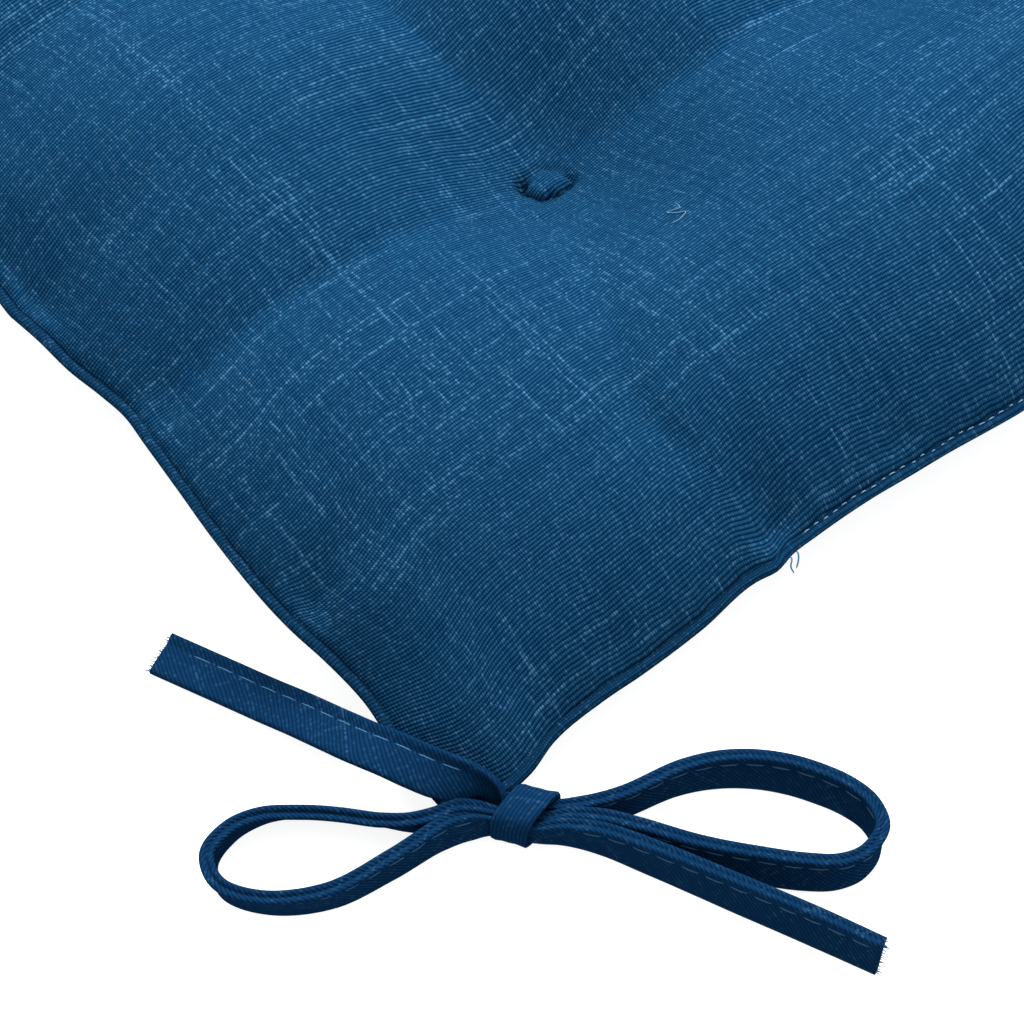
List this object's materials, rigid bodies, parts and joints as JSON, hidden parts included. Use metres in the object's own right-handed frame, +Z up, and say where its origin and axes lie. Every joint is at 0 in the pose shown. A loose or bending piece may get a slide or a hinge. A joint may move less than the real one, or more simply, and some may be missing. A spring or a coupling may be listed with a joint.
{
  "type": "tufted chair cushion",
  "caption": "Square stuffed chair pad with a knife-edge seam, stitched-through tufts and self-fabric ties in a bow at each back corner.",
  "frame": {"origin": "centre of the underside, on the surface that the cushion lies on", "axes": "+Z up through the cushion's thickness, +Y towards the back edge with the ties, +X towards the right flank seen from the front"},
  "size_m": [0.507, 0.4754, 0.0634],
  "materials": {
    "cover": "matte slubbed plain weave, mid blue",
    "ties": "matte slubbed plain weave, the cover's cloth folded and topstitched"
  },
  "bodies": {
    "root": {"cushion": "cover", "loop_tie_right": "ties", "tail_tie_right": "ties", "knot_right": "ties", "loop_tie_left": "ties", "tail_tie_left": "ties", "knot_left": "ties"}
  },
  "joints": []
}
